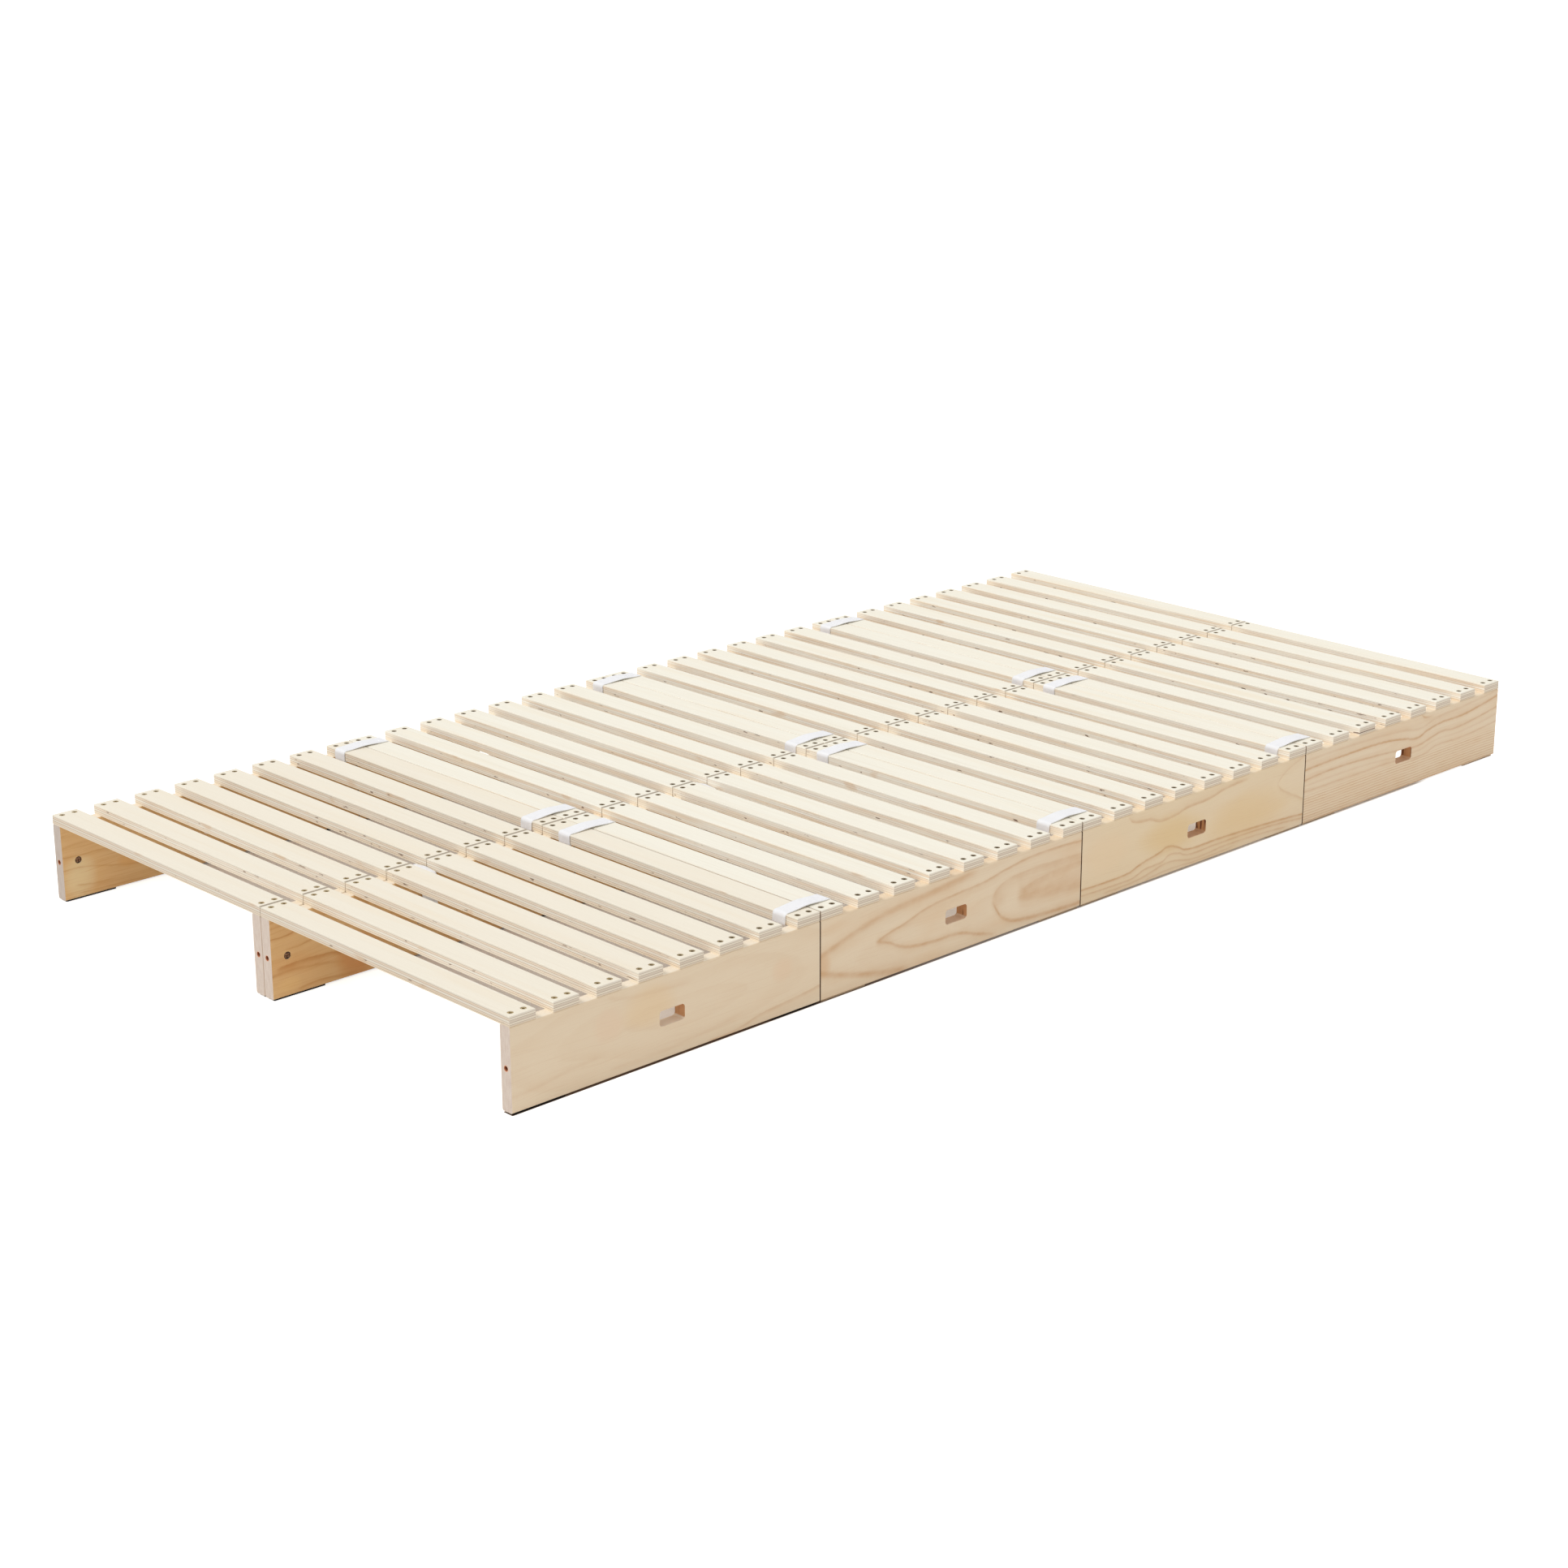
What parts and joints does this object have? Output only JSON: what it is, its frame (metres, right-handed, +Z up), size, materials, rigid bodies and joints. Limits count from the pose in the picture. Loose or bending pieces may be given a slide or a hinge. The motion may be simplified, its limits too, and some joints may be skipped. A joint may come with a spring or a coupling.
{
  "type": "pallet bed",
  "caption": "Low slatted bed base of square timber pallets: plywood slats screwed to pine rails with hand holes, tied row to row by webbing loops so that it folds.",
  "frame": {"origin": "centre of the bed's footprint, on the floor under the pads", "axes": "+X across the bed to the right, +Y along the bed from row 1, the near row, to row 4, the far row, +Z up through the slats"},
  "size_m": [0.987, 1.96, 0.1251],
  "materials": {
    "pine_rail": "planed, clear and unfinished",
    "plywood": "sanded, pale face veneer with layered edges",
    "brass": "dull yellow passivated",
    "dowel_steel": "turned, satin",
    "rubber": "matt",
    "webbing": "woven, matt white"
  },
  "bodies": {
    "row_1": {"row1_left_rail_outer": "pine_rail", "row1_left_rail_inner": "pine_rail", "row1_left_slats": "plywood", "row1_left_screws": "brass", "row1_left_pads": "rubber", "row1_left_cross_dowels": "dowel_steel", "row1_right_rail_outer": "pine_rail", "row1_right_rail_inner": "pine_rail", "row1_right_slats": "plywood", "row1_right_screws": "brass", "row1_right_pads": "rubber", "row1_right_cross_dowels": "dowel_steel", "strap_loops_rows_1_2_left": "webbing", "strap_loops_rows_1_2_right": "webbing", "centre_strap_row_1": "webbing"},
    "row_2": {"row2_left_rail_outer": "pine_rail", "row2_left_rail_inner": "pine_rail", "row2_left_slats": "plywood", "row2_left_screws": "brass", "row2_left_pads": "rubber", "row2_left_cross_dowels": "dowel_steel", "row2_right_rail_outer": "pine_rail", "row2_right_rail_inner": "pine_rail", "row2_right_slats": "plywood", "row2_right_screws": "brass", "row2_right_pads": "rubber", "row2_right_cross_dowels": "dowel_steel", "strap_loops_rows_2_3_left": "webbing", "strap_loops_rows_2_3_right": "webbing", "centre_strap_row_2": "webbing"},
    "row_3": {"row3_left_rail_outer": "pine_rail", "row3_left_rail_inner": "pine_rail", "row3_left_slats": "plywood", "row3_left_screws": "brass", "row3_left_pads": "rubber", "row3_left_cross_dowels": "dowel_steel", "row3_right_rail_outer": "pine_rail", "row3_right_rail_inner": "pine_rail", "row3_right_slats": "plywood", "row3_right_screws": "brass", "row3_right_pads": "rubber", "row3_right_cross_dowels": "dowel_steel", "strap_loops_rows_3_4_left": "webbing", "strap_loops_rows_3_4_right": "webbing"},
    "row_4": {"row4_left_rail_outer": "pine_rail", "row4_left_rail_inner": "pine_rail", "row4_left_slats": "plywood", "row4_left_screws": "brass", "row4_left_pads": "rubber", "row4_left_cross_dowels": "dowel_steel", "row4_right_rail_outer": "pine_rail", "row4_right_rail_inner": "pine_rail", "row4_right_slats": "plywood", "row4_right_screws": "brass", "row4_right_pads": "rubber", "row4_right_cross_dowels": "dowel_steel"}
  },
  "joints": [
    {"name": "fold_1", "type": "hinge", "parent": "row_1", "child": "row_2", "pos_m": [0, -0.4905, 0.122], "axis": [1, 0, 0], "range_deg": [0, 90], "deforming": ["strap_loops_rows_1_2_left", "strap_loops_rows_1_2_right"]},
    {"name": "fold_2", "type": "hinge", "parent": "row_2", "child": "row_3", "pos_m": [0, 0, 0.122], "axis": [1, 0, 0], "range_deg": [0, 90], "deforming": ["strap_loops_rows_2_3_left", "strap_loops_rows_2_3_right"]},
    {"name": "fold_3", "type": "hinge", "parent": "row_3", "child": "row_4", "pos_m": [0, 0.4905, 0.122], "axis": [1, 0, 0], "range_deg": [0, 90], "deforming": ["strap_loops_rows_3_4_left", "strap_loops_rows_3_4_right"]}
  ]
}
